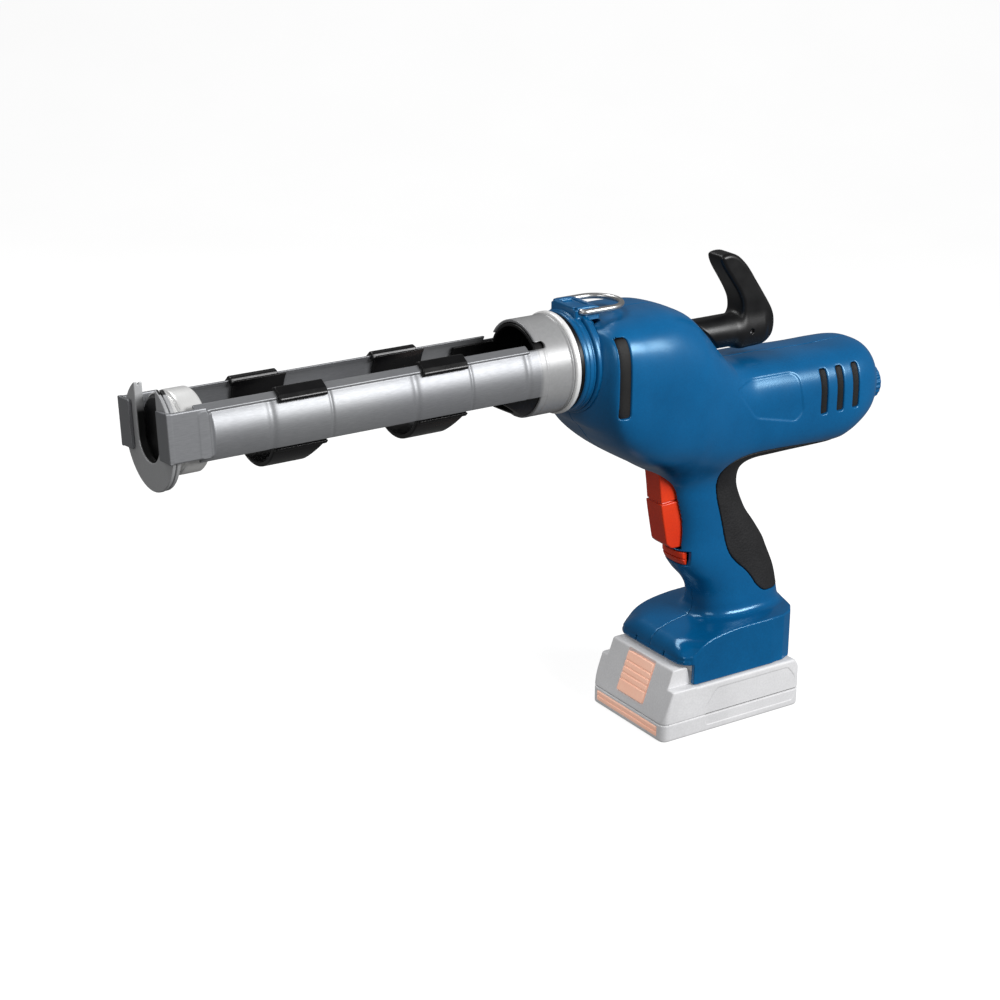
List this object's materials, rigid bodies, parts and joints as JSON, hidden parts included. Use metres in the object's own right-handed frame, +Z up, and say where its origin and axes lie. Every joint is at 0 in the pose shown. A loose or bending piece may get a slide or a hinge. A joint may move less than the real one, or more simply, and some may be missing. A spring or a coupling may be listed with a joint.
{
  "type": "cordless caulking tool",
  "caption": "Cordless caulking tool: swivelling half-open cartridge holder, rack push rod with pull hook, geared motor barrel, pistol grip with trigger, slide-on battery",
  "frame": {"origin": "middle of the battery's bottom face, on the surface the tool stands on", "axes": "X runs along the push rod, nose towards -X and dial towards +X; left side of the tool is -Y; Z is up"},
  "size_m": [0.4948, 0.0834, 0.2896],
  "materials": {
    "blue_plastic": "satin moulded blue",
    "soft_grip": "matte soft moulding",
    "holder_grey": "grey satin metal",
    "bright_ring": "bright plated",
    "black_plastic": "black moulded",
    "plunger_alloy": "turned",
    "rod_alloy": "drawn and cut",
    "steel": "machined",
    "bronze": "sintered",
    "magnet": "ferrite",
    "red_plastic": "red orange moulded",
    "board": "coated board",
    "pale_grey": "pale grey moulded",
    "pale_salmon": "pale salmon moulded",
    "cell": "sleeved cell"
  },
  "bodies": {
    "tool": {"housing_left": "blue_plastic", "housing_right": "blue_plastic", "grip_overmould": "soft_grip", "housing_screws": "steel", "nose_ring": "blue_plastic", "swivel_bush": "black_plastic", "front_rod_bush": "bronze", "rear_rod_bush": "bronze", "gear_frame_left": "steel", "gear_frame_right": "steel", "shaft_bearings": "steel", "ring_gear": "steel", "gearbox_case": "plunger_alloy", "motor_can": "steel", "motor_end_cap": "black_plastic", "motor_magnets": "magnet", "switch_body": "black_plastic", "trigger_spring": "steel", "terminal_block": "black_plastic", "terminal_blades": "bronze", "control_board": "board"},
    "holder": {"holder_frame": "holder_grey", "end_plate": "holder_grey", "saddle_front": "black_plastic", "saddle_rear": "black_plastic", "cartridge_seat": "black_plastic", "retaining_ring": "bright_ring"},
    "rod": {"push_rod": "rod_alloy", "piston": "plunger_alloy", "piston_face": "black_plastic", "piston_nut": "steel", "pull_hook": "black_plastic", "hook_pin": "steel"},
    "pinion": {"rack_pinion": "steel", "drive_gear": "steel", "pinion_shaft": "steel"},
    "idler": {"idler_pinion": "steel", "idler_shaft": "steel", "bevel_gear": "steel"},
    "carrier": {"planet_carrier": "steel", "bevel_pinion": "steel"},
    "planet_a": {"planet_gear_a": "steel"},
    "planet_b": {"planet_gear_b": "steel"},
    "planet_c": {"planet_gear_c": "steel"},
    "rotor": {"motor_shaft": "steel", "rotor_core": "steel", "sun_gear": "steel", "cooling_fan": "black_plastic"},
    "trigger": {"trigger": "red_plastic", "switch_plunger": "black_plastic"},
    "lock": {"lock_button": "red_plastic"},
    "dial": {"speed_dial": "blue_plastic"},
    "ring": {"d_ring": "bright_ring"},
    "battery": {"battery_case": "pale_grey", "battery_lid": "pale_grey", "battery_cells": "cell", "battery_bumper": "pale_salmon"},
    "latch": {"latch_button": "pale_salmon"}
  },
  "joints": [
    {"name": "rod_slide", "type": "slide", "parent": "tool", "child": "rod", "axis": [1, 0, 0], "range_m": [0, 0.215]},
    {"name": "pinion_spin", "type": "hinge", "parent": "tool", "child": "pinion", "pos_m": [-0.041, 0, 0.2268], "axis": [0, 1, 0], "continuous": true},
    {"name": "idler_spin", "type": "hinge", "parent": "tool", "child": "idler", "pos_m": [-0.041, 0, 0.1928], "axis": [0, 1, 0], "continuous": true},
    {"name": "carrier_spin", "type": "hinge", "parent": "tool", "child": "carrier", "pos_m": [-0.016, 0, 0.1928], "axis": [1, 0, 0], "continuous": true},
    {"name": "planet_a_spin", "type": "hinge", "parent": "carrier", "child": "planet_a", "pos_m": [0.002, 0, 0.2048], "axis": [1, 0, 0], "continuous": true},
    {"name": "planet_b_spin", "type": "hinge", "parent": "carrier", "child": "planet_b", "pos_m": [0.002, -0.01039, 0.1868], "axis": [1, 0, 0], "continuous": true},
    {"name": "planet_c_spin", "type": "hinge", "parent": "carrier", "child": "planet_c", "pos_m": [0.002, 0.01039, 0.1868], "axis": [1, 0, 0], "continuous": true},
    {"name": "rotor_spin", "type": "hinge", "parent": "tool", "child": "rotor", "pos_m": [0.044, 0, 0.1928], "axis": [1, 0, 0], "continuous": true},
    {"name": "holder_turn", "type": "hinge", "parent": "tool", "child": "holder", "pos_m": [-0.126, 0, 0.241], "axis": [1, 0, 0], "continuous": true},
    {"name": "trigger_pull", "type": "slide", "parent": "tool", "child": "trigger", "axis": [1, 0, 0], "range_m": [0, 0.0055], "stiffness_N_per_m": 400, "deforming": ["trigger_spring"]},
    {"name": "lock_slide", "type": "slide", "parent": "tool", "child": "lock", "axis": [0, 1, 0], "range_m": [-0.003, 0.003]},
    {"name": "dial_turn", "type": "hinge", "parent": "tool", "child": "dial", "pos_m": [0.124, 0, 0.191], "axis": [1, 0, 0], "range_deg": [-140, 140]},
    {"name": "d_ring_swing", "type": "hinge", "parent": "tool", "child": "ring", "pos_m": [-0.103, 0, 0.2716], "axis": [0, -1, 0], "range_deg": [0, 150]},
    {"name": "battery_slide", "type": "slide", "parent": "tool", "child": "battery", "axis": [-1, 0, 0], "range_m": [0, 0.095]},
    {"name": "latch_press", "type": "slide", "parent": "battery", "child": "latch", "axis": [0.9414, 0, -0.3372], "range_m": [0, 0.002], "stiffness_N_per_m": 400}
  ],
  "couplings": [
    {"joint": "pinion_spin", "follows": "rod_slide", "rad_per_m": 111.11},
    {"joint": "idler_spin", "follows": "rod_slide", "rad_per_m": -266.67},
    {"joint": "carrier_spin", "follows": "rod_slide", "rad_per_m": -533.33},
    {"joint": "rotor_spin", "follows": "rod_slide", "rad_per_m": -2666.7},
    {"joint": "planet_a_spin", "follows": "rod_slide", "rad_per_m": 1422.2},
    {"joint": "planet_b_spin", "follows": "rod_slide", "rad_per_m": 1422.2},
    {"joint": "planet_c_spin", "follows": "rod_slide", "rad_per_m": 1422.2}
  ]
}
